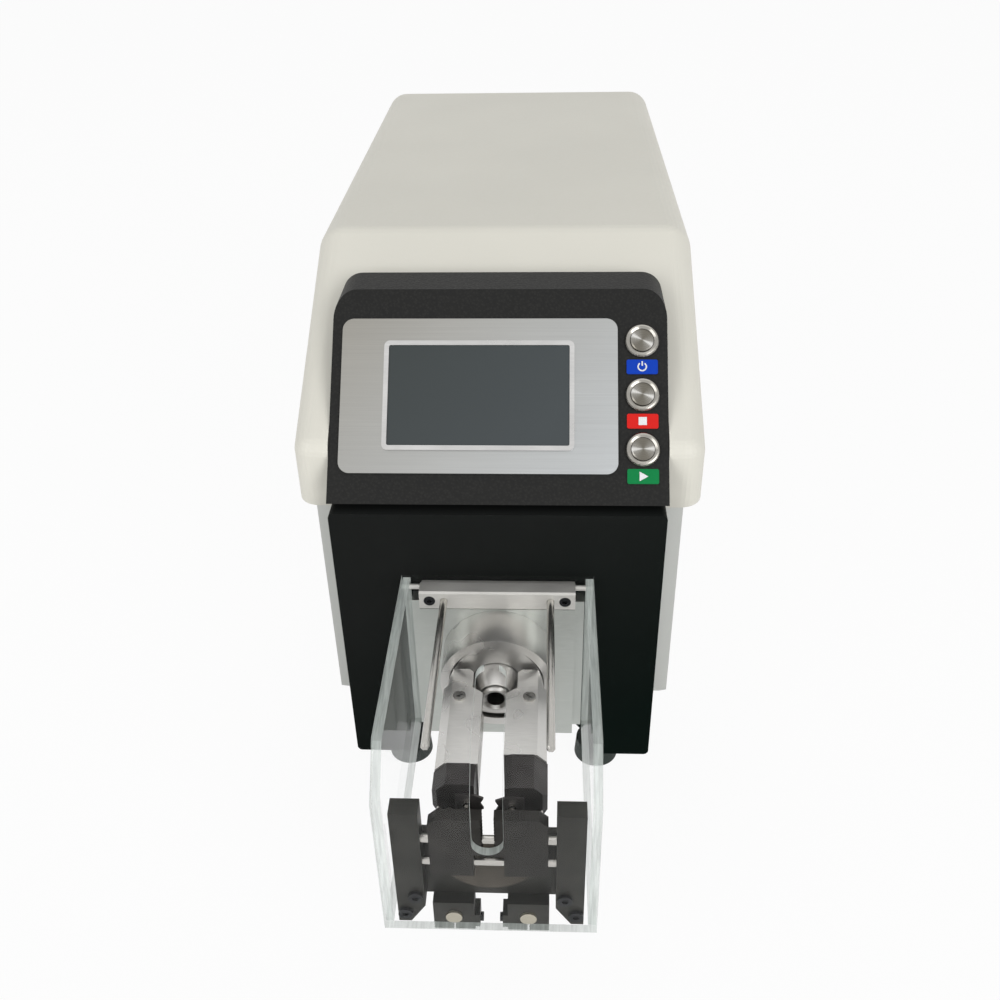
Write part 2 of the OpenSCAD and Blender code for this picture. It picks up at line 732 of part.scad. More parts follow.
module motor_pulley() {
    color("#adb0b2") at_front() {
        along_y(pulley_y + 2, 0, motor_z) toothed_pulley(motor_teeth, motor_pulley_r);
        rod_y(4, upright_y - 18, pulley_y + 1, 0, motor_z);
    }
}

module belt_loop(offset_r) {
    hull() {
        circle(spindle_pulley_r + offset_r);
        translate([0, -motor_rise]) circle(motor_pulley_r + offset_r);
    }
}

module drive_belt() {
    color("#242424") at_front() along_y(pulley_y + 2.4) linear_extrude(pulley_t - 4.8) difference() {
        belt_loop(1.6);
        belt_loop(0.3);
    }
}

module spindle_motor() {
    color("#2d2f31") at_front() difference() {
        union() {
            motor_body(56, upright_y - 44, upright_y, 0, motor_z);
            rod_y(18.8, upright_y - eps, upright_y + 2, 0, motor_z);
        }
        rod_y(4 + run_gap, upright_y - 20, upright_y + 3, 0, motor_z);
    }
}

module nozzle() {
    color("#9a9b99") at_front() difference() {
        union() {
            rod_y(nozzle_r, -nozzle_reach + 1, rear_upright_y + 8);
            translate([0, -nozzle_reach + 1, axis_z]) rotate([90, 0, 0]) cylinder(r1 = nozzle_r, r2 = nozzle_r - 1, h = 1);
            rod_y(nozzle_r + 4, rear_upright_y + 8, rear_upright_y + 11);
        }
        rod_y(nozzle_bore_r, -nozzle_reach - 1, rear_upright_y + 12);
        translate([0, -nozzle_reach + 1.5, axis_z]) rotate([90, 0, 0]) cylinder(r1 = nozzle_bore_r - eps, r2 = nozzle_bore_r + 1.6, h = 1.6);
    }
}

// Sleeve whose nose spreads the arm tails
module closing_cone() {
    color("#b0b1ae") at_front() difference() {
        union() {
            rod_y(cone_r, cone_nose_y, yoke_y + 11.5);
            translate([0, cone_nose_y, axis_z]) rotate([90, 0, 0]) cylinder(r1 = cone_r, r2 = cone_front_r, h = cone_nose_len);
            for (y = [yoke_y - 0.5, yoke_y + 8.5]) rod_y(17, y, y + 3);
        }
        rod_y(nozzle_r + 0.4, -60, 160);
    }
}

module closing_yoke() {
    front = yoke_y + 3;
    color("#8f9294") at_front() {
        difference() {
            front_profile(front, front + yoke_t) {
                translate([-17, closing_z - 8]) square([34, axis_z - closing_z + 12]);
            }
            rod_y(cone_r + 0.4, front - 1, front + yoke_t + 1);
            block(-cone_r - 0.4, cone_r + 0.4, front - 1, front + yoke_t + 1, axis_z, axis_z + 20);
        }
        rod_y(3, front + yoke_t - eps, rear_upright_y + 34, 0, closing_z);
    }
}

module closing_motor() {
    rear = rear_upright_y + 8;
    color("#2d2f31") at_front() difference() {
        motor_body(35, rear, rear + 35, 0, closing_z);
        rod_y(3.3, rear - 1, rear + 36, 0, closing_z);
    }
}

// Arms: a faceted bar with a forked root and a tail on the closing cone
module arm_plan(front) {
    tail = cone_nose_y - 6;
    polygon([[arm_inner_x, front], [arm_inner_x, -57], [11.4, -53], [11.4, tail], [13.6, tail + 2.2],
        [22, tail + 2.2], [arm_outer_x, -50], [arm_outer_x, front]]);
}

module arm_section(y0, y1) {
    facet = 4.6;
    intersection() {
        front_profile(y0, y1) translate([0, axis_z]) polygon([[0, -arm_half_t], [arm_outer_x - facet, -arm_half_t],
            [arm_outer_x, -arm_half_t + facet], [arm_outer_x, arm_half_t - facet],
            [arm_outer_x - facet, arm_half_t], [0, arm_half_t]]);
        union() {
            rod_y(arm_round_r, y0, arm_root_y);
            rod_y(arm_root_r, arm_root_y - eps, y1);
        }
    }
}

module arm_form(front) {
    difference() {
        intersection() {
            translate([0, 0, axis_z - 20]) linear_extrude(40) arm_plan(front);
            arm_section(front - 1, -30);
        }
        block(0, 40, -pivot_reach - 10, -30, axis_z - 4.4, axis_z + 4.4);
        translate([pivot_x, -pivot_reach, axis_z - 20]) cylinder(d = pivot_d + 2 * run_gap, h = 40);
    }
}

left_front = -blade_reach + 13;
right_front = -blade_reach + 19;
left_face = -blade_reach;
right_face = -blade_reach - blade_t - 0.2;

module arm_left() { color("#b7b8b4") at_front() mirror([1, 0, 0]) arm_form(left_front); }

module arm_right() { color("#b7b8b4") at_front() arm_form(right_front); }

module arm_pins() {
    top = arm_half_t + run_gap;
    color("#d0d0cc") at_front() for (x = [-1, 1]) translate([x * pivot_x, -pivot_reach, axis_z]) {
        cylinder(d = pivot_d, h = 2 * top, center = true);
        translate([0, 0, top - eps]) difference() {
            cylinder(r = pivot_d / 2 + 1.2, h = 0.9);
            translate([0, 0, 0.9]) cube([0.8, 10, 0.9], center = true);
        }
    }
}

module holder_form(front, rear) {
    clear = 0.05;
    intersection() {
        translate([0, 0, axis_z - 20]) linear_extrude(40) polygon([[7, front], [7, front + 7], [arm_inner_x + 0.6, rear - clear],
            [arm_outer_x + 0.4, rear - clear], [arm_outer_x + 0.4, front + 2], [arm_outer_x - 2, front]]);
        front_profile(front - 1, rear + 1) translate([0, axis_z]) polygon([[0, -arm_half_t - 0.4], [arm_outer_x - 6, -arm_half_t - 0.4],
            [arm_outer_x + 0.4, -5], [arm_outer_x + 0.4, 5], [arm_outer_x - 6, arm_half_t + 0.4], [10, arm_half_t + 0.4], [0, arm_half_t - 3]]);
        rod_y(arm_round_r + 0.4, front - 1, rear + 1);
    }
}

module holder_left() { color("#57524f") at_front() mirror([1, 0, 0]) holder_form(left_face, left_front); }

module holder_right() { color("#57524f") at_front() holder_form(right_face, right_front); }

module blade_form(face) {
    edge = blade_gap / 2;
    front_profile(face - blade_t, face - run_gap) translate([0, axis_z])
        polygon([[16, -5.5], [16, 5.5], [7, 5.5], [edge, 3.4], [edge + 1.6, 0], [edge, -3.4], [7, -5.5]]);
}

module blade_left() { color("#6d6a68") at_front() mirror([1, 0, 0]) blade_form(left_face); }

module blade_right() { color("#6d6a68") at_front() blade_form(right_face); }

module screw_group(face) {
    translate([10.6, face - blade_t - run_gap, axis_z]) rotate([90, 0, 0]) socket_head(4.4, 1.4, 2.2);
    for (x = [18.6, 23]) translate([x, face - run_gap, axis_z - 4.6]) rotate([90, 0, 0]) socket_head(3.6, 1.2, 1.8);
}

module screws_left() { color("#c8c8c4") at_front() mirror([1, 0, 0]) screw_group(left_face); }

module screws_right() { color("#c8c8c4") at_front() screw_group(right_face); }

// Gripper
module gripper_shafts() {
    color("#b5b5b0") at_front() for (x = [-1, 1])
        rod_y(shaft_d / 2, -gripper_reach + 2, bulkhead_y + bulkhead_t + 4, x * shaft_x, shaft_z);
}

module gripper_plate() {
    half = gripper_half_w;
    color("#4a4744") at_front() {
        difference() {
            front_profile(gripper_plate_y, gripper_plate_y + gripper_plate_t) difference() {
                polygon([[-half, 46], [-half, 97], [half, 97], [half, 46], [half - 4, 46], [half - 10, gripper_bottom],
                    [-half + 10, gripper_bottom], [-half + 4, 46]]);
                translate([-8, 90]) square([16, 10]);
            }
            for (x = [-1, 1], p = wing_screws) rod_y(1.95, -150, -100, x * p[0], p[1]);
        }
        rod_y(5, disc_front, gripper_plate_y + eps, 0, disc_z);
    }
}

module gripper_wings() {
    color("#4a4744") at_front() for (side = [-1, 1]) mirror_x(side) difference() {
        front_profile(-gripper_reach, gripper_plate_y - run_gap) polygon([[wing_inner_x, wing_top], [gripper_half_w, wing_top],
            [gripper_half_w, 42], [gripper_half_w - 6, 42], [wing_inner_x, 54]]);
        for (p = wing_screws) {
            rod_y(1.95, -150, -100, p[0], p[1]);
            rod_y(3.6, -150, -gripper_reach + 0.6, p[0], p[1]);
        }
        for (z = [jaw_rod_upper, jaw_rod_lower])
            rod_x_dir(jaw_rod_d / 2 + run_gap, wing_inner_x - 1, wing_inner_x + 8, jaw_rod_y, z);
    }
}

clamp_y = gripper_plate_y - 6;

module clamp_blocks() {
    top = gripper_bottom - run_gap;
    color("#4f4c49") at_front() for (side = [-1, 1]) mirror_x(side) difference() {
        union() {
            block(shaft_x - 10, shaft_x + 10, clamp_y, gripper_plate_y + gripper_plate_t, shaft_z - 10, top);
            block(shaft_x - 12.5, shaft_x - 10 + eps, clamp_y, gripper_plate_y + gripper_plate_t, shaft_z - 8, shaft_z + 1);
        }
        rod_y(shaft_d / 2 + run_gap, -150, -100, shaft_x, shaft_z);
        block(shaft_x - 0.5, shaft_x + 0.5, -150, -100, shaft_z - 11, shaft_z);
        rod_x_dir(1.5, shaft_x - 13, shaft_x + 8, clamp_y + 4.6, shaft_z - 6.4);
    }
}

module clamp_screw(side) {
    mirror_x(side) {
        rod_x_dir(1.4, shaft_x - 12.5 - run_gap, shaft_x + 7, clamp_y + 4.6, shaft_z - 6.4);
        rod_x_dir(2.2, shaft_x - 14, shaft_x - 12.5 - run_gap, clamp_y + 4.6, shaft_z - 6.4);
    }
}

module jaw_rods() {
    color("#c3c3be") at_front() for (z = [jaw_rod_upper, jaw_rod_lower])
        rod_x_dir(jaw_rod_d / 2, -wing_inner_x - 8, wing_inner_x + 8, jaw_rod_y, z);
}

// A jaw with a toothed gripping face and a drive pin in the disc's spiral
module jaw_form() {
    teeth = 10;
    tooth_h = 2.3;
    face_x = jaw_gap / 2;
    face_top = axis_z + 9;
    face_low = face_top - teeth * tooth_h;
    difference() {
        front_profile(-gripper_reach, jaw_back) polygon(concat(
            [for (i = [0:teeth - 1], k = [0, 1]) [face_x + (k == 0 ? 0 : 0.9), face_top - (i + k * 0.5) * tooth_h]],
            [[face_x, face_low], [jaw_low_x, face_low - 2], [jaw_low_x, disc_z - 7], [jaw_outer_x - 2, disc_z - 7],
                [jaw_outer_x, disc_z - 5], [jaw_outer_x, face_top - 4], [jaw_outer_x - 4, face_top]]));
        for (z = [jaw_rod_upper, jaw_rod_lower]) rod_x_dir(jaw_rod_d / 2 + run_gap, 0, 40, jaw_rod_y, z);
    }
    rod_y(pin_d / 2, jaw_back - eps, disc_front + disc_t, pin_x, disc_z);
}

module jaw_left() { color("#3c3936") at_front() mirror([1, 0, 0]) jaw_form(); }

module jaw_right() { color("#3c3936") at_front() jaw_form(); }

function spiral_r(a) = pin_x + spiral_rise * a * PI / 180;

function spiral_point(a, side) = (spiral_r(a) + side * (pin_d / 2 + pin_slack) * 1.08) * [cos(a), sin(a)];

module spiral_slot() {
    last = open_turn + 2;
    first = -close_turn - 2;
    steps = 12;
    step = (last - first) / steps;
    polygon(concat([for (i = [0:steps]) spiral_point(first + i * step, 1)],
        [for (i = [steps:-1:0]) spiral_point(first + i * step, -1)]));
    for (a = [first, last]) translate(spiral_r(a) * [cos(a), sin(a)]) circle(pin_d / 2 + pin_slack);
}

module cam_disc() {
    color("#6e6458") at_front() front_profile(disc_front, disc_front + disc_t - 0.05) translate([0, disc_z]) difference() {
        intersection() {
            circle(disc_r, $fn = 96);
            translate([-disc_r, -disc_r]) square([2 * disc_r, disc_r + 11]);
        }
        circle(5 + run_gap);
        for (turn = [0, 180]) rotate(turn) spiral_slot();
    }
}

// Clear guard
module guard_outline(inset) {
    polygon([[guard_rear, guard_z], [guard_rear, guard_top - inset], [-guard_top_reach + inset * 0.4, guard_top - inset],
        [-guard_reach + inset, guard_top - guard_drop - inset * 0.4], [-guard_reach + inset, guard_z]]);
}

module guard_cover() {
    half = guard_w / 2;
    color([0.82, 0.88, 0.86, 0.35]) at_front() difference() {
        translate([-half, 0, 0]) rotate([90, 0, 90]) linear_extrude(guard_w) difference() {
            guard_outline(0);
            guard_outline(guard_t);
            polygon([[guard_rear + 1, guard_z - 1], [guard_rear + 1, guard_top - guard_t], [guard_rear - 10, guard_top - guard_t],
                [-guard_reach + guard_t + 1, guard_z + 30], [-guard_reach + guard_t, guard_z - 1]]);
            translate([guard_top_rear, guard_z]) square([20, guard_top]);
        }
        block(-slot_w / 2, slot_w / 2, -guard_reach - 1, -slot_reach - slot_w / 2, axis_z, guard_top + 1);
        rod_y(slot_w / 2, -guard_reach - 1, -guard_reach + guard_t + 1);
        translate([0, -slot_reach - slot_w / 2, guard_top - guard_t - 1]) cylinder(d = slot_w, h = guard_t + 2);
    }
}

module guard_sides() {
    half = guard_w / 2;
    color([0.82, 0.88, 0.86, 0.35]) at_front() for (side = [-1, 1]) mirror_x(side) difference() {
        translate([half - guard_t, 0, 0]) rotate([90, 0, 90]) linear_extrude(guard_t) guard_outline(guard_t + run_gap);
        rod_x_dir(hinge_d / 2 + run_gap, half - guard_t - 1, half + 1, hinge_y, hinge_z);
    }
}

chassis();
hood();
rear_panel();
front_cover();
feet();
console_shell();
console_plate();
screen_frame();
touch_screen();
screen_module();
button_barrels();
power_button();
stop_button();
start_button();
button_labels();
power_inlet();
rocker_switch();
pedal_socket();
power_supply();
control_board();
base_frame();
mount_plate();
top_block();
socket_screws();
guide_rods();
rails();
carriage();
carriage_bearings();
feed_screw();
feed_motor();
housing();
spindle_bearings();
spindle();
spindle_pulley();
nozzle();
drive_belt();
spindle_motor();
motor_pulley();
closing_cone();
closing_yoke();
closing_motor();
arm_left();
arm_right();
arm_pins();
holder_left();
holder_right();
blade_left();
blade_right();
screws_left();
screws_right();
gripper_shafts();
gripper_plate();
gripper_wings();
clamp_blocks();
jaw_rods();
jaw_left();
jaw_right();
cam_disc();
guard_cover();
guard_sides();
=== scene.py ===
import math

import bmesh
import bpy
from mathutils import Matrix, Vector


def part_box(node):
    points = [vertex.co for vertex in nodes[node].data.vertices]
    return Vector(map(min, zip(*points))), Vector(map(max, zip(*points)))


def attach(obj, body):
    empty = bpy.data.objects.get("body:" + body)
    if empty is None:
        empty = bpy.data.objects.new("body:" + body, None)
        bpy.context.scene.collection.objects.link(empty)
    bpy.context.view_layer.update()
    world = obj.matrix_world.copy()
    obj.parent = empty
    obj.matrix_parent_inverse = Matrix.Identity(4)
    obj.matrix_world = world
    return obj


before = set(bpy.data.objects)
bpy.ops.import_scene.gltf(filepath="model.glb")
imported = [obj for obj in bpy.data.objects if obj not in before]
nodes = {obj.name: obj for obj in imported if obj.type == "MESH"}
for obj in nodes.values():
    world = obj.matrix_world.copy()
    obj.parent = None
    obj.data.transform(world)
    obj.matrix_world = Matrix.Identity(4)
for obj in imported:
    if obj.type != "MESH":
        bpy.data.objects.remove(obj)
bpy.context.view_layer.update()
print("frame loaded:", len(nodes), "pieces")

mm = 0.001
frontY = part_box("front_cover")[0].y           # lower front face of the machine
axisZ = 107 * mm                              # height of the cable axis

# Where the sloping console holds its buttons and labels
console = {
    "angle": math.radians(46.9),
    "foot": Vector((0, frontY + 4 * mm, 191 * mm)),
    "buttonX": 75 * mm,
    "buttonUp": [87.5 * mm, 58.4 * mm, 29.3 * mm],   # power, stop, start, up the slope
    "labelDrop": 14.1 * mm,                          # from a button down to its label
}


def onConsole(x, up, lift=0.0):
    # a point on the sloping face: across, up the slope, and out from it
    c, s = math.cos(console["angle"]), math.sin(console["angle"])
    return console["foot"] + Vector((x, up * c - lift * s, up * s + lift * c))


def consoleMatrix(x, up, lift):
    return Matrix.Translation(onConsole(x, up, lift)) @ Matrix.Rotation(console["angle"], 4, "X")


# Camera, as the photograph was taken
shot = {
    "focal": 1051.86 / 1000,              # focal length as a share of the picture's width
    "sensor": 36,
    "near": 0.02,
    "far": 60,
    "place": (24.25, -443.53, 492.68),    # in mm: across, from the front face, up
    "pitch": math.radians(33.676),
    "yaw": math.radians(2.877),
    "roll": math.radians(-1.242),
}


def makeCamera():
    data = bpy.data.cameras.new("camera")
    data.sensor_width = shot["sensor"]
    data.lens = shot["focal"] * shot["sensor"]
    data.clip_start = shot["near"]
    data.clip_end = shot["far"]
    camera = bpy.data.objects.new("camera", data)
    bpy.context.scene.collection.objects.link(camera)
    p, y, r = shot["pitch"], shot["yaw"], shot["roll"]
    forward = Vector((-math.sin(y) * math.cos(p), math.cos(y) * math.cos(p), -math.sin(p)))
    level = Vector((math.cos(y), math.sin(y), 0))
    rise = level.cross(forward)
    across = level * math.cos(r) + rise * math.sin(r)
    upward = -level * math.sin(r) + rise * math.cos(r)
    turn = Matrix((across, upward, -forward)).transposed().to_4x4()
    x, depth, height = (v * mm for v in shot["place"])
    camera.matrix_world = Matrix.Translation((x, frontY + depth, height)) @ turn
    bpy.context.scene.camera = camera


makeCamera()
print("camera set")


# Node building: a wire is one socket with arithmetic, a finish is one material
def addNode(tree, kind, settings=None, values=()):
    # any node: its settings first, then the values or links of its sockets
    node = tree.nodes.new(kind)
    for name, value in (settings or {}).items():
        setattr(node, name, value)
    pairs = values.items() if isinstance(values, dict) else enumerate(values)
    for key, value in pairs:
        source = value.socket if isinstance(value, Wire) else value
        if isinstance(source, bpy.types.NodeSocket):
            tree.links.new(source, node.inputs[key])
        else:
            node.inputs[key].default_value = source
    return node


class Wire:
    def __init__(self, tree, socket):
        self.tree = tree
        self.socket = socket

    def math(self, operation, *values):
        return self.worked(operation, [self, *values])

    def worked(self, operation, values):
        node = addNode(self.tree, "ShaderNodeMath", {"operation": operation}, values)
        return Wire(self.tree, node.outputs[0])

    def __add__(self, other):
        return self.math("ADD", other)

    def __mul__(self, other):
        return self.math("MULTIPLY", other)

    def __sub__(self, other):
        return self.math("SUBTRACT", other)

    def __rsub__(self, other):
        return self.worked("SUBTRACT", [other, self])

    def __truediv__(self, other):
        return self.math("DIVIDE", other)

    def __gt__(self, other):
        return self.math("GREATER_THAN", other)

    def __lt__(self, other):
        return self.math("LESS_THAN", other)

    def __or__(self, other):
        return self.math("MAXIMUM", other)

    def __and__(self, other):
        return self.math("MINIMUM", other)

    __radd__ = __add__
    __rmul__ = __mul__


class Finish:
    sockets = {"colour": "Base Color", "rough": "Roughness", "metal": "Metallic",
               "specular": "Specular IOR Level", "coat": "Coat Weight",
               "coatRough": "Coat Roughness", "alpha": "Alpha", "normal": "Normal"}

    def __init__(self, name):
        self.material = bpy.data.materials.new(name)
        self.material.use_nodes = True
        self.tree = self.material.node_tree
        self.tree.nodes.clear()
        self.where = self.add("ShaderNodeTexCoord", out="Object")
        self.facing = self.add("ShaderNodeTexCoord", out="Normal")

    def add(self, kind, settings=None, values=(), out=0):
        return Wire(self.tree, addNode(self.tree, kind, settings, values).outputs[out])

    def split(self, vector=None):
        node = addNode(self.tree, "ShaderNodeSeparateXYZ", None, [vector or self.where])
        return [Wire(self.tree, socket) for socket in node.outputs]

    def join(self, x, y, z):
        return self.add("ShaderNodeCombineXYZ", values=[x, y, z])

    def vector(self, operation, *values, out=0):
        return self.add("ShaderNodeVectorMath", {"operation": operation}, values, out)

    def stretch(self, scale):
        # coordinates scaled by three numbers: a small one makes a pattern long that way
        return self.add("ShaderNodeMapping", {"vector_type": "POINT"},
                        {"Vector": self.where, "Scale": scale})

    def noise(self, scale, vector=None, detail=3.0, rough=0.5):
        return self.add("ShaderNodeTexNoise", None,
                        {"Vector": vector or self.where, "Scale": scale,
                         "Detail": detail, "Roughness": rough})

    def cells(self, scale, vector=None):
        return self.add("ShaderNodeTexVoronoi", None,
                        {"Vector": vector or self.where, "Scale": scale})

    def ranged(self, value, low, high, newLow=0.0, newHigh=1.0):
        return self.add("ShaderNodeMapRange", None,
                        {"Value": value, "From Min": low, "From Max": high,
                         "To Min": newLow, "To Max": newHigh})

    def spread(self, noise, low=0.0, high=1.0):
        # a noise lies mostly from 0.3 to 0.7: spread it out to run from low to high
        return self.ranged(noise, 0.3, 0.7, low, high)

    def blend(self, share, first, second, way="MIX"):
        first, second = (v if isinstance(v, Wire) else (*v, 1) for v in (first, second))
        return self.add("ShaderNodeMix", {"data_type": "RGBA", "blend_type": way},
                        {0: share, 6: first, 7: second}, out=2)

    def bump(self, height, distance, strength):
        return self.add("ShaderNodeBump", None,
                        {"Height": height, "Distance": distance, "Strength": strength})

    def show(self, shader):
        addNode(self.tree, "ShaderNodeOutputMaterial", None, {"Surface": shader})
        return self.material

    def surface(self, **looks):
        # every colour given here is a wire, every other look a wire or a number
        values = {self.sockets[key]: value for key, value in looks.items()}
        return self.show(self.add("ShaderNodeBsdfPrincipled", None, values))


def shaded(colour, share):
    return tuple(c * share for c in colour)


# In each look below a grain, cell or cloud number sets how fine that pattern is, "darker" is
# the darkest share of the colour, "relief" the height of the bumps, "strength" their effect

# Painted sheet of the hood, the chassis and the rear panel
painted = {
    "mottle": 9, "peel": 620, "grit": 2100,      # three patterns, from broad to fine
    "gritShare": 0.5,                            # how much of the bumps is grit
    "darker": 0.965, "rough": (0.44, 0.58), "specular": 0.4,
    "relief": 0.10 * mm, "strength": 0.45,
}


def hoodPaint(name, colour):
    f = Finish(name)
    mottle = f.ranged(f.noise(painted["mottle"], detail=2), 0.35, 0.65)
    peel = f.noise(painted["peel"], detail=2)
    height = peel + painted["gritShare"] * f.noise(painted["grit"], detail=1)
    return f.surface(colour=f.blend(mottle, shaded(colour, painted["darker"]), colour),
                     rough=f.spread(peel, *painted["rough"]), specular=painted["specular"],
                     normal=f.bump(height, painted["relief"], painted["strength"]))


# Black powder coat of the front cover, a little greener towards the lower right
cover = {
    "upper": (0.0112, 0.0122, 0.0116),
    "lower": (0.0012, 0.0046, 0.0033),
    "lean": 0.6,                  # how far the change leans to the right
    "change": (-0.17, 0.0),       # where it starts and ends, in metres
    "grain": 1500, "rough": (0.44, 0.58), "specular": 0.025,
    "relief": 0.07 * mm, "strength": 0.5,
}


def coverPaint():
    f = Finish("coverBlack")
    x, _, z = f.split()
    lower = f.ranged(x * cover["lean"] - z, *cover["change"])
    fine = f.noise(cover["grain"], detail=2)
    return f.surface(colour=f.blend(lower, cover["upper"], cover["lower"]),
                     rough=f.spread(fine, *cover["rough"]), specular=cover["specular"],
                     normal=f.bump(fine, cover["relief"], cover["strength"]))


# Black moulded plastic of the console, with a leather grain
leather = {
    "groove": (0.0165, 0.0163, 0.0150),
    "top": (0.0095, 0.0095, 0.0090),
    "drift": 240.0, "driftBy": 1.6 * mm,         # what keeps the cells from looking regular
    "cell": 640, "pore": 1900, "poreShare": 0.35,
    "rough": (0.46, 0.62), "specular": 0.20, "relief": 0.20 * mm, "strength": 0.5,
}


def consoleLeather():
    f = Finish("consoleLeather")
    drift = f.add("ShaderNodeTexNoise", None,
                  {"Vector": f.where, "Scale": leather["drift"]}, out="Color")
    drifted = f.vector("MULTIPLY_ADD", drift, (leather["driftBy"],) * 3, f.where)
    grain = f.cells(leather["cell"], drifted)
    pores = f.noise(leather["pore"], detail=2)
    height = f.ranged(grain, 0.0, 0.75) + leather["poreShare"] * pores
    return f.surface(colour=f.blend(f.ranged(grain, 0.1, 0.6), leather["groove"], leather["top"]),
                     rough=f.spread(pores, *leather["rough"]), specular=leather["specular"],
                     normal=f.bump(height, leather["relief"], leather["strength"]))


# Plain moulded plastic
plastic = {"grain": 1300, "darker": 0.85, "smoother": 0.06, "rougher": 0.08,
           "relief": 0.06 * mm, "strength": 0.5}


def mouldedPlastic(name, colour, rough=0.5):
    f = Finish(name)
    fine = f.noise(plastic["grain"], detail=2)
    return f.surface(colour=f.blend(f.spread(fine), shaded(colour, plastic["darker"]), colour),
                     rough=f.spread(fine, rough - plastic["smoother"], rough + plastic["rougher"]),
                     normal=f.bump(fine, plastic["relief"], plastic["strength"]))


# Dark touch glass with a faint painted reflection, a sweep of light, and a few smears
screen = {
    "dark": (0.042, 0.050, 0.050),
    "light": (0.056, 0.066, 0.070),
    "lean": 0.9,                  # how far the sweep leans to the right
    "reflectionSweep": (-0.31, -0.20),      # where it starts and ends, in metres
    "smear": 60, "smearStretch": (1, 3, 3),
    "rough": (0.18, 0.26), "specular": 0.22, "coat": 0.12, "coatRough": 0.08,
}


def screenFace():
    f = Finish("screenFace")
    x, _, z = f.split()
    # painted reflection: the colour runs from dark to light across the glass
    reflectionSweep = f.ranged(x * screen["lean"] - z, *screen["reflectionSweep"])
    smear = f.noise(screen["smear"], f.stretch(screen["smearStretch"]), detail=3)
    return f.surface(colour=f.blend(reflectionSweep, screen["dark"], screen["light"]),
                     rough=f.spread(smear, *screen["rough"]), specular=screen["specular"],
                     coat=screen["coat"], coatRough=screen["coatRough"])


# One label under each button, told apart by their height
labels = {
    "power": (0.006, 0.052, 0.46),
    "stop": (0.70, 0.020, 0.016),
    "start": (0.006, 0.215, 0.060),
    "grain": 900, "rough": (0.30, 0.40), "specular": 0.12, "relief": 0.03 * mm, "strength": 0.4,
}


def labelPlastic():
    f = Finish("labelPlastic")
    z = f.split()[2]
    power, stop, start = (onConsole(0, up - console["labelDrop"]).z for up in console["buttonUp"])
    lowerTwo = f.blend(z > (stop + start) / 2, labels["start"], labels["stop"])
    colour = f.blend(z > (power + stop) / 2, lowerTwo, labels["power"])
    fine = f.noise(labels["grain"], detail=2)
    return f.surface(colour=colour, rough=f.spread(fine, *labels["rough"]),
                     specular=labels["specular"],
                     normal=f.bump(fine, labels["relief"], labels["strength"]))


# Rubber of the feet and the drive belt
rubber = {"grain": 900, "darker": 0.7, "rough": (0.62, 0.8), "relief": 0.10 * mm, "strength": 0.5}


def blackRubber(name, colour):
    f = Finish(name)
    fine = f.noise(rubber["grain"], detail=3)
    return f.surface(colour=f.blend(f.spread(fine), shaded(colour, rubber["darker"]), colour),
                     rough=f.spread(fine, *rubber["rough"]),
                     normal=f.bump(fine, rubber["relief"], rubber["strength"]))


# Clear guard: light passes straight through, with a faint gloss on the faces and pale edges,
# frosted and with painted light along them
guard = {
    "face": (0.96, 0.98, 0.97),
    # the edges' colour: frosted saw cuts, and painted light that the sheet carries to its edges
    "edge": (0.80, 0.86, 0.82),
    "edgeDarker": 0.70,       # darkest share of it, along the saw's marks
    "edgeShare": 0.58,        # how solid the pale edges look
    "rimShare": 0.30,         # the same along the lower rim
    "gloss": 0.008,           # share that a face mirrors, seen straight on
    "grazing": 0.30,          # what is added to it at a grazing look
    "faceRough": 0.03,
    "edgeRougher": 0.33,      # what an edge adds to that
    "saw": (900, 60, 60), "wave": 9, "relief": 0.4 * mm, "strength": 0.3,
    "slotTop": 118 * mm,      # the cover's cable slot ends below this height
}


def clearAcrylic(name, edgeMask):
    f = Finish(name)
    saw = f.ranged(f.noise(1.0, f.stretch(guard["saw"]), detail=3), 0.35, 0.65)
    wave = f.noise(guard["wave"], detail=1)
    edge = edgeMask(f)
    low = f.split(f.facing)[2] < -0.5
    solid = (1 - low) * guard["edgeShare"] + low * guard["rimShare"]
    lean = f.add("ShaderNodeLayerWeight", None, {"Blend": 0.5}, out="Facing")
    mirror = lean.math("POWER", 5.0) * guard["grazing"] + guard["gloss"]
    # pale edges: saw marks, and painted light glowing along the edges
    frostedAndLitEdge = f.blend(saw, shaded(guard["edge"], guard["edgeDarker"]), guard["edge"])
    return f.surface(colour=f.blend(edge, guard["face"], frostedAndLitEdge), metal=1 - edge,
                     rough=edge * guard["edgeRougher"] + guard["faceRough"],
                     alpha=edge * solid + (1 - edge) * mirror,
                     normal=f.bump(wave, guard["relief"], guard["strength"]))


def sideEdges(f):
    # 1 on every face of a side plate that doesn't look sideways
    return f.split(f.facing)[0].math("ABSOLUTE") < 0.5


def coverEdges(f):
    # 1 on the cover's two side edges, on its lower rim and in the end of its cable slot
    nx, _, nz = f.split(f.facing)
    rimOrSlot = (f.split()[2] < guard["slotTop"]) & (nz.math("ABSOLUTE") > 0.3)
    return (nx.math("ABSOLUTE") > 0.5) | rimOrSlot


# Brushed plate round the screen: long fine scratches, and a painted reflection, dim and warm at
# the upper left
brushed = {
    # painted reflection: dim and warm at the upper left, bright and cool at the right
    "reflectionDim": (0.345, 0.33, 0.295),
    "reflectionBright": (0.53, 0.55, 0.56),
    "lean": 0.8,                  # how far the change leans to the right
    "change": (-0.34, -0.15),     # where it starts and ends, in metres
    "along": (14, 2600, 2600),    # the scratches run where the number is small
    "scratchShare": 0.7, "patch": 14, "patchStretch": (1, 2.5, 2.5), "darker": 0.9,
    "rough": (0.28, 0.38), "relief": 0.03 * mm, "strength": 0.5,
}


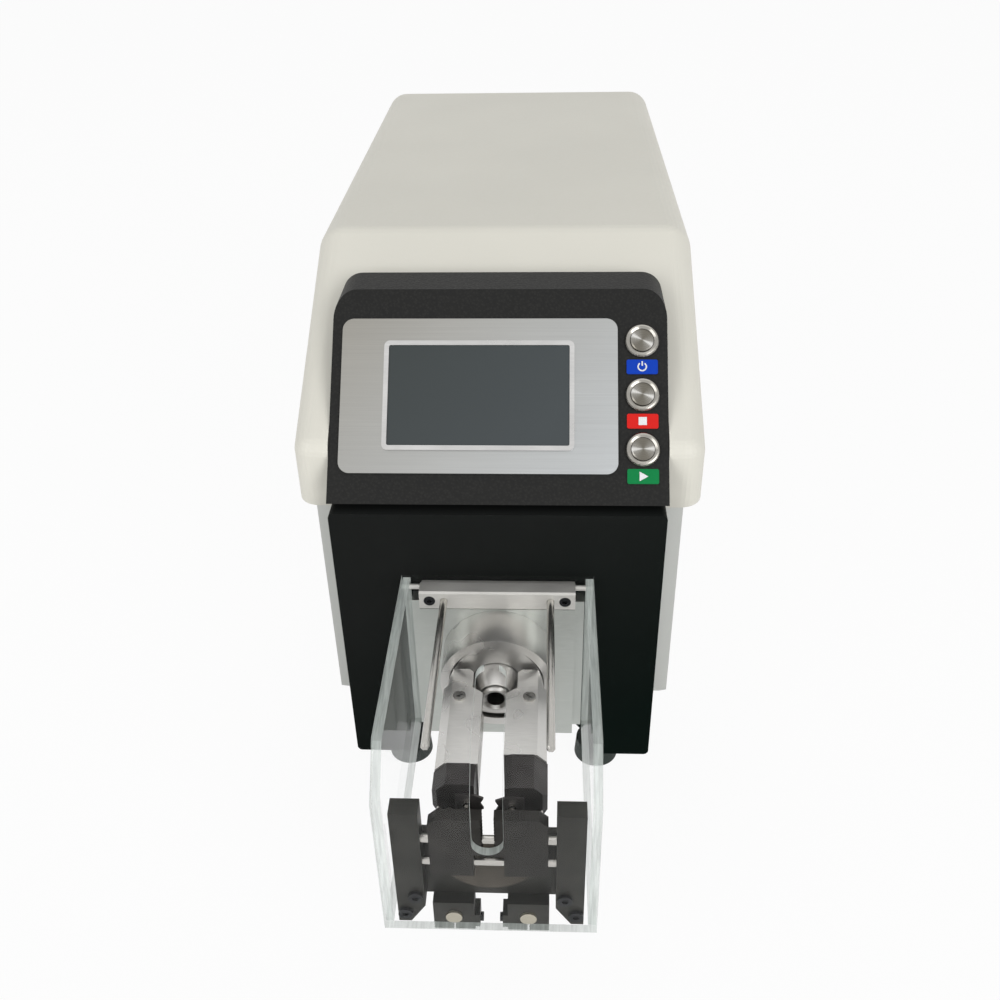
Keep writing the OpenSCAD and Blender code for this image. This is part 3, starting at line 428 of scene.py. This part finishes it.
def brushedSheet():
    f = Finish("consolePlate")
    streak = f.noise(1.0, f.stretch(brushed["along"]), detail=3, rough=0.6)
    patch = f.noise(brushed["patch"], f.stretch(brushed["patchStretch"]), detail=2)
    x, _, z = f.split()
    # painted reflection, changing from the upper left to the right
    change = f.ranged(x * brushed["lean"] - z, *brushed["change"])
    paintedReflection = f.blend(change, brushed["reflectionDim"], brushed["reflectionBright"])
    marks = streak * brushed["scratchShare"] + patch * (1 - brushed["scratchShare"])
    shade = f.blend(f.ranged(marks, 0.34, 0.66), (brushed["darker"],) * 3, (1, 1, 1))
    return f.surface(colour=f.blend(1.0, paintedReflection, shade, "MULTIPLY"), metal=1.0,
                     rough=f.spread(streak, *brushed["rough"]),
                     normal=f.bump(streak, brushed["relief"], brushed["strength"]))


# Turned steel: fine lathe rings about the cable axis
turned = {
    "centre": (0, 0, axisZ), "axis": (0, 1, 0),
    "grain": 5200, "cloud": 45, "darker": 0.84, "rough": (0.25, 0.38),
    "relief": 0.04 * mm, "strength": 0.8,
}


def turnedSteel(name, colour):
    f = Finish(name)
    moved = f.vector("SUBTRACT", f.where, turned["centre"])
    along = f.vector("DOT_PRODUCT", moved, turned["axis"], out="Value")
    out = f.vector("CROSS_PRODUCT", moved, turned["axis"])
    radius = f.vector("LENGTH", out, out="Value")
    rings = f.noise(1.0, f.join(radius * turned["grain"], along * turned["grain"], 0.0), detail=2)
    cloud = f.noise(turned["cloud"], detail=1)
    tone = f.spread(rings * 0.5 + cloud * 0.5)
    return f.surface(colour=f.blend(tone, shaded(colour, turned["darker"]), colour), metal=1.0,
                     rough=f.spread(cloud, *turned["rough"]),
                     normal=f.bump(rings, turned["relief"], turned["strength"]))


# Milled and drawn metal: faint marks along the machine's width
milled = {
    "along": (160, 1100, 1100), "cloud": 60, "darker": 0.9,
    "smoother": 0.05, "rougher": 0.07, "relief": 0.012 * mm, "strength": 0.4,
}


def milledSteel(name, colour, rough=0.3, metal=1.0):
    f = Finish(name)
    streak = f.noise(1.0, f.stretch(milled["along"]), detail=1)
    cloud = f.noise(milled["cloud"], detail=1)
    tone = f.ranged(cloud * 0.5 + streak * 0.5, 0.34, 0.66)
    return f.surface(colour=f.blend(tone, shaded(colour, milled["darker"]), colour), metal=metal,
                     rough=f.spread(cloud, rough - milled["smoother"], rough + milled["rougher"]),
                     normal=f.bump(streak, milled["relief"], milled["strength"]))


# Dark steel with slightly rubbed patches, paler and smoother than the rest
oxide = {
    "wear": 75, "rubbed": 1.8, "smoother": 0.08, "rougher": 0.06,
    "metal": 0.6, "specular": 0.3, "grain": 1600, "relief": 0.05 * mm, "strength": 0.5,
}


def blackOxide(name, colour, rough=0.45):
    f = Finish(name)
    wear = f.noise(oxide["wear"], detail=5, rough=0.65)
    fine = f.noise(oxide["grain"], detail=2)
    tone = f.ranged(wear, 0.42, 0.78)
    return f.surface(colour=f.blend(tone, colour, shaded(colour, oxide["rubbed"])),
                     rough=f.spread(wear, rough + oxide["rougher"], rough - oxide["smoother"]),
                     metal=oxide["metal"], specular=oxide["specular"],
                     normal=f.bump(fine, oxide["relief"], oxide["strength"]))


# Green lacquer of the control board
board = {"cell": 260, "dark": (0.012, 0.09, 0.035), "light": (0.02, 0.13, 0.05), "rough": 0.4}


def boardGreen():
    f = Finish("boardGreen")
    tracks = f.ranged(f.cells(board["cell"]), 0.1, 0.5)
    return f.surface(colour=f.blend(tracks, board["dark"], board["light"]), rough=board["rough"])


# Button caps spun on a lathe: fine rings, and two painted highlight fans that meet in the middle
caps = {
    "colour": (0.17, 0.158, 0.133),
    # colour of the painted highlight
    "paintedGlint": (0.80, 0.79, 0.765),
    "turns": {"power": -27, "stop": -17, "start": 2},   # how the fans lie, in degrees
    "sharp": 26,                          # the larger, the narrower the fans
    "softPaintedGlint": 3.0, "softShare": 0.25,       # the wider, fainter fans under them
    "grain": 5200, "rough": (0.20, 0.30), "relief": 0.03 * mm, "strength": 0.6,
}


def spunCap(name, up, turn):
    f = Finish(name)
    a, t = console["angle"], math.radians(turn)
    moved = f.vector("SUBTRACT", f.where, tuple(onConsole(console["buttonX"], up)))
    across = f.vector("DOT_PRODUCT", moved, (1, 0, 0), out="Value")
    rise = f.vector("DOT_PRODUCT", moved, (0, math.cos(a), math.sin(a)), out="Value")
    radius = (across * across + rise * rise).math("SQRT")
    highlightFan = (across * math.cos(t) + rise * math.sin(t)).math("ABSOLUTE") / (radius + 0.01 * mm)
    rings = f.noise(1.0, f.join(radius * caps["grain"], 0.0, 0.0), detail=2)
    # painted highlight: two fans at a fixed angle, a sharp one over a wide faint one
    paintedGlint = highlightFan.math("POWER", caps["sharp"]) * f.ranged(rings, 0.2, 0.6, 0.75, 1.0)
    softPaintedGlint = highlightFan.math("POWER", caps["softPaintedGlint"]) * caps["softShare"]
    return f.surface(colour=f.blend(paintedGlint | softPaintedGlint, caps["colour"], caps["paintedGlint"]), metal=1.0,
                     rough=f.spread(rings, *caps["rough"]),
                     normal=f.bump(rings, caps["relief"], caps["strength"]))


def paint(material, *names):
    for name in names:
        slots = nodes[name].data.materials
        slots.clear()
        slots.append(material)


# Housing and console
paint(hoodPaint("hoodWhite", (0.765, 0.745, 0.665)), "hood")
paint(hoodPaint("bodyGrey", (0.70, 0.71, 0.675)), "chassis", "rear_panel")
paint(coverPaint(), "front_cover")
paint(consoleLeather(), "console_shell")
paint(brushedSheet(), "console_plate")
paint(milledSteel("frameSilver", (0.60, 0.595, 0.585), 0.32, 0.7), "screen_frame")
paint(screenFace(), "touch_screen")
paint(labelPlastic(), "button_labels")
paint(milledSteel("rimSteel", (0.36, 0.345, 0.315), 0.2), "button_barrels")
for buttonName, buttonUp in zip(("power", "stop", "start"), console["buttonUp"]):
    buttonCap = spunCap(buttonName + "Cap", buttonUp, caps["turns"][buttonName])
    paint(buttonCap, buttonName + "_button")
paint(mouldedPlastic("darkPlastic", (0.02, 0.02, 0.021)),
      "screen_module", "power_inlet", "rocker_switch")
paint(blackRubber("footRubber", (0.012, 0.022, 0.017)), "feet")
paint(blackOxide("blackScrews", (0.016, 0.017, 0.019)), "socket_screws")

# Works inside the housing, and bright steel throughout
paint(boardGreen(), "control_board")
paint(blackRubber("beltRubber", (0.014, 0.014, 0.014)), "drive_belt")
paint(milledSteel("blockAluminium", (0.66, 0.65, 0.62), 0.30),
      "carriage", "base_frame", "closing_yoke", "power_supply")
paint(milledSteel("motorBlack", (0.02, 0.02, 0.021), 0.5, 0.3),
      "feed_motor", "spindle_motor", "closing_motor")
paint(turnedSteel("headSteel", (0.60, 0.59, 0.57)),
      "housing", "spindle", "spindle_bearings", "closing_cone", "nozzle")
paint(turnedSteel("pulleyMetal", (0.6, 0.6, 0.6)), "spindle_pulley", "motor_pulley")
paint(milledSteel("brightSteel", (0.52, 0.505, 0.475), 0.2),
      "guide_rods", "jaw_rods", "arm_pins", "screws_left", "screws_right",
      "pedal_socket", "feed_screw", "rails", "carriage_bearings")

# Head, blades and gripper in front
paint(milledSteel("blockBright", (0.60, 0.59, 0.56), 0.42, 0.55), "top_block")
paint(milledSteel("mountAluminium", (0.47, 0.49, 0.465), 0.40), "mount_plate")
paint(milledSteel("armSteel", (0.66, 0.65, 0.625), 0.30, 0.85), "arm_left", "arm_right")
paint(milledSteel("shaftBronze", (0.47, 0.44, 0.36), 0.42), "gripper_shafts")
paint(blackOxide("holderBlack", (0.034, 0.031, 0.030)), "holder_left", "holder_right")
paint(blackOxide("bladeCarbide", (0.075, 0.070, 0.067), 0.35), "blade_left", "blade_right")
paint(blackOxide("gripperBlack", (0.026, 0.0255, 0.022)),
      "gripper_plate", "gripper_wings", "clamp_blocks")
paint(blackOxide("jawBlack", (0.019, 0.0175, 0.0155)), "jaw_left", "jaw_right")
paint(blackOxide("discDark", (0.060, 0.052, 0.042), 0.5), "cam_disc")
paint(clearAcrylic("acrylicCover", coverEdges), "guard_cover")
paint(clearAcrylic("acrylicSides", sideEdges), "guard_sides")
print("finishes on every CAD piece")


# Floor, world and lamps
studio = {
    "floorSize": 30.0,
    "floorSpeck": 6,
    "floorWhite": ((0.86, 0.86, 0.855), (0.88, 0.88, 0.875)),
    "floorShare": 0.935,       # how much of the floor's white comes from itself, for the camera
    "worldLight": 0.49,        # what the world sheds on the machine
    "worldTint": (0.98, 0.99, 1.0),
    "aim": Vector((0, -0.1, 0.15)),      # what every lamp points at
    "lamps": [
        # name, place, size, power
        ("keyLamp", (1.5, -2.2, 1.1), 1.4, 28),
        ("fillLamp", (-1.7, -1.9, 1.0), 1.6, 19),
        ("topLamp", (0.0, 0.3, 2.4), 1.8, 5),
    ],
}


def seenDirectly(tree):
    # 1 where the camera, a mirror or a clear piece looks straight at the surface
    path = addNode(tree, "ShaderNodeLightPath")
    rays = ("Is Camera Ray", "Is Glossy Ray", "Is Transmission Ray")
    camera, mirror, clear = (Wire(tree, path.outputs[ray]) for ray in rays)
    return camera | mirror | clear


def makeFloor():
    half = studio["floorSize"] / 2
    corners = [(-half, -half, 0), (half, -half, 0), (half, half, 0), (-half, half, 0)]
    mesh = bpy.data.meshes.new("floor")
    mesh.from_pydata(corners, [], [(0, 1, 2, 3)])
    floor = bpy.data.objects.new("floor", mesh)
    bpy.context.scene.collection.objects.link(floor)
    f = Finish("floorWhite")
    speck = f.noise(studio["floorSpeck"], detail=3)
    matt = f.add("ShaderNodeBsdfDiffuse", None, {"Color": f.blend(speck, *studio["floorWhite"])})
    glow = f.add("ShaderNodeEmission", None, {"Color": (1, 1, 1, 1), "Strength": 1.0})
    share = seenDirectly(f.tree) * studio["floorShare"]
    mesh.materials.append(f.show(f.add("ShaderNodeMixShader", None, [share, matt, glow])))


def makeWorld():
    # white wherever it is looked at, dimmer where it only lights the machine
    world = bpy.data.worlds.new("studio")
    bpy.context.scene.world = world
    world.use_nodes = True
    tree = world.node_tree
    tree.nodes.clear()
    lights = ((studio["worldTint"], studio["worldLight"]), ((1, 1, 1), 1.0))
    dim, white = (addNode(tree, "ShaderNodeBackground", None,
                          {"Color": (*colour, 1), "Strength": strength}).outputs[0]
                  for colour, strength in lights)
    mixed = addNode(tree, "ShaderNodeMixShader", None, [seenDirectly(tree), dim, white])
    addNode(tree, "ShaderNodeOutputWorld", None, {"Surface": mixed.outputs[0]})


def makeLamps():
    for name, place, size, power in studio["lamps"]:
        data = bpy.data.lights.new(name, "AREA")
        data.shape = "SQUARE"
        data.size = size
        data.energy = power
        lamp = bpy.data.objects.new(name, data)
        bpy.context.scene.collection.objects.link(lamp)
        lamp.location = place
        lamp.rotation_mode = "QUATERNION"
        lamp.rotation_quaternion = (studio["aim"] - Vector(place)).to_track_quat("-Z", "Y")


makeFloor()
makeWorld()
makeLamps()
print("studio built")


# Small pieces of the scene's own
def newPiece(name, mesh, material, body):
    mesh.materials.append(material)
    piece = bpy.data.objects.new(name, mesh)
    bpy.context.scene.collection.objects.link(piece)
    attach(piece, body)


def slab(bm, outline, deep):
    # a flat outline given a thickness
    low = [bm.verts.new((x, y, 0)) for x, y in outline]
    high = [bm.verts.new((x, y, deep)) for x, y in outline]
    bm.faces.new(list(reversed(low)))
    bm.faces.new(high)
    for i in range(len(outline)):
        j = (i + 1) % len(outline)
        bm.faces.new((low[i], low[j], high[j], high[i]))


def slabMesh(name, outlines, deep, place):
    # one mesh of several slabs, put in its place
    bm = bmesh.new()
    for outline in outlines:
        slab(bm, outline, deep)
    mesh = bpy.data.meshes.new(name)
    bm.to_mesh(mesh)
    bm.free()
    mesh.transform(place)
    return mesh


# Symbols on the labels
symbol = {
    "size": 2.5 * mm,
    "stroke": 0.72 * mm,
    "lift": 0.75 * mm,            # from the console's face
    "deep": 0.12 * mm,
    "open": (125, 415),           # the ring runs between these, in degrees
    "steps": 40,
    "bar": (0.2, 1.15),           # in shares of the size: from and to
    "square": 0.85,
    "arrow": (-0.75, 1.05),       # its back and its tip
}


def arcPoints(radius):
    start, end = (math.radians(turn) for turn in symbol["open"])
    steps = symbol["steps"]
    angles = [start + (end - start) * i / steps for i in range(steps + 1)]
    return [(radius * math.cos(a), radius * math.sin(a)) for a in angles]


def makeSymbols():
    s, w = symbol["size"], symbol["stroke"]
    ring = arcPoints(s) + arcPoints(s - w)[::-1]
    low, high = (share * s for share in symbol["bar"])
    bar = [(-w / 2, low), (w / 2, low), (w / 2, high), (-w / 2, high)]
    q = symbol["square"] * s
    square = [(-q, -q), (q, -q), (q, q), (-q, q)]
    back, tip = (share * s for share in symbol["arrow"])
    arrow = [(back, -s), (tip, 0), (back, s)]
    white = mouldedPlastic("symbolWhite", (0.86, 0.87, 0.88), 0.4)
    shapes = {"powerSymbol": [ring, bar], "stopSymbol": [square], "startSymbol": [arrow]}
    for (name, outlines), up in zip(shapes.items(), console["buttonUp"]):
        place = consoleMatrix(console["buttonX"], up - console["labelDrop"], symbol["lift"])
        mesh = slabMesh(name, outlines, symbol["deep"], place)
        newPiece(name, mesh, white, "base")


makeSymbols()
print("symbols on the labels")

# Small screws on the rear panel and along the sides of the chassis
screws = {
    # of one head: its recess is a share of the radius
    "sizes": {"Radius": 2.7 * mm, "Height": 1.3 * mm, "Recess": 0.52, "Depth": 0.8 * mm},
    "sides": 18,                  # faces round a head
    "sink": 0.05 * mm,            # how far a head stands in the sheet
    "rear": [(x, z) for x in (-90, 90) for z in (24, 97, 170)] + [(0, 24), (0, 170)],   # in mm
    "sideY": (70, 240, 410),      # in mm behind the front face
    "sideZ": 26 * mm,
}


def screwTree(material):
    # one socket screw head, put on every point and turned the way the input says
    tree = bpy.data.node_groups.new("screwHeads", "GeometryNodeTree")
    sockets = tree.interface
    sockets.new_socket("Points", in_out="INPUT", socket_type="NodeSocketGeometry")
    for name in screws["sizes"]:
        sockets.new_socket(name, in_out="INPUT", socket_type="NodeSocketFloat")
    sockets.new_socket("Turn", in_out="INPUT", socket_type="NodeSocketVector")
    sockets.new_socket("Screws", in_out="OUTPUT", socket_type="NodeSocketGeometry")

    def add(kind, settings=None, values=()):
        return addNode(tree, kind, settings, values).outputs

    given = add("NodeGroupInput")
    head = add("GeometryNodeMeshCylinder", {"fill_type": "NGON"},
               {"Vertices": screws["sides"], "Radius": given["Radius"], "Depth": given["Height"]})
    rim = add("GeometryNodeExtrudeMesh", {"mode": "FACES"},
              {"Mesh": head["Mesh"], "Selection": head["Top"], "Offset Scale": 0.0})
    inner = add("GeometryNodeScaleElements", {"domain": "FACE"},
                {"Geometry": rim["Mesh"], "Selection": rim["Top"], "Scale": given["Recess"]})
    down = add("ShaderNodeMath", {"operation": "MULTIPLY"}, [given["Depth"], -1.0])
    cut = add("GeometryNodeExtrudeMesh", {"mode": "FACES"},
              {"Mesh": inner["Geometry"], "Selection": rim["Top"], "Offset Scale": down[0]})
    placed = add("GeometryNodeInstanceOnPoints", None,
                 {"Points": given["Points"], "Instance": cut["Mesh"], "Rotation": given["Turn"]})
    whole = add("GeometryNodeRealizeInstances", None, [placed[0]])
    dressed = add("GeometryNodeSetMaterial", None, {"Geometry": whole[0], "Material": material})
    add("NodeGroupOutput", None, [dressed[0]])
    return tree


def makeScrews(name, points, turn, tree, material):
    mesh = bpy.data.meshes.new(name + "Points")
    mesh.from_pydata(points, [], [])
    carrier = bpy.data.objects.new(name + "Points", mesh)
    bpy.context.scene.collection.objects.link(carrier)
    modifier = carrier.modifiers.new("screws", "NODES")
    modifier.node_group = tree
    inputs = {s.name: s.identifier for s in tree.interface.items_tree if s.in_out == "INPUT"}
    for key, value in screws["sizes"].items():
        modifier[inputs[key]] = value
    modifier[inputs["Turn"]] = turn
    finished = carrier.evaluated_get(bpy.context.evaluated_depsgraph_get())
    result = bpy.data.meshes.new_from_object(finished)
    carrier.modifiers.clear()
    bpy.data.objects.remove(carrier)
    result.name = name
    result.materials.clear()
    newPiece(name, result, material, "base")


def allScrews():
    dark = blackOxide("screwBlack", (0.03, 0.03, 0.031))
    tree = screwTree(dark)
    half = screws["sizes"]["Height"] / 2 - screws["sink"]
    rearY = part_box("rear_panel")[1].y
    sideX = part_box("chassis")[1].x
    rearPoints = [(x * mm, rearY + half, z * mm) for x, z in screws["rear"]]
    makeScrews("rearScrews", rearPoints, (math.radians(-90), 0, 0), tree, dark)
    for side, name in ((-1, "sideScrewsLeft"), (1, "sideScrewsRight")):
        x = side * (sideX + half)
        points = [(x, frontY + y * mm, screws["sideZ"]) for y in screws["sideY"]]
        makeScrews(name, points, (0, math.radians(90 * side), 0), tree, dark)


allScrews()
print("small screws on the panels")

# Painted shadow of the screwdriver slots: thin dark slabs on the heads of the two arm pins
pinSlot = {
    "length": 3.4 * mm,
    "width": 0.7 * mm,
    "deep": 0.10 * mm,
    "sink": 0.04 * mm,            # how far the dark slab stands in the head
    "turns": (24, -32),           # left and right, in degrees
}


def makePinSlotShadows():
    low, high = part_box("arm_pins")
    reach = (high.y - low.y) / 2                  # the head's radius
    u, v = pinSlot["length"] / 2, pinSlot["width"] / 2
    outlines = []
    for side, turn in zip((-1, 1), pinSlot["turns"]):
        middle = Matrix.Translation((side * (high.x - reach), (low.y + high.y) / 2, 0))
        place = middle @ Matrix.Rotation(math.radians(turn), 4, "Z")
        corners = ((-u, -v), (u, -v), (u, v), (-u, v))
        outlines.append([(place @ Vector((x, y, 0))).xy for x, y in corners])
    top = Matrix.Translation((0, 0, high.z - pinSlot["sink"]))
    mesh = slabMesh("pinSlotShadows", outlines, pinSlot["deep"], top)
    # a dark slab as painted shade where each slot would be
    shadow = blackOxide("slotShadow", (0.012, 0.012, 0.012))
    newPiece("pinSlotShadows", mesh, shadow, "rotor")


makePinSlotShadows()
print("slots in the arm pins")

bpy.context.scene.view_settings.view_transform = "Standard"
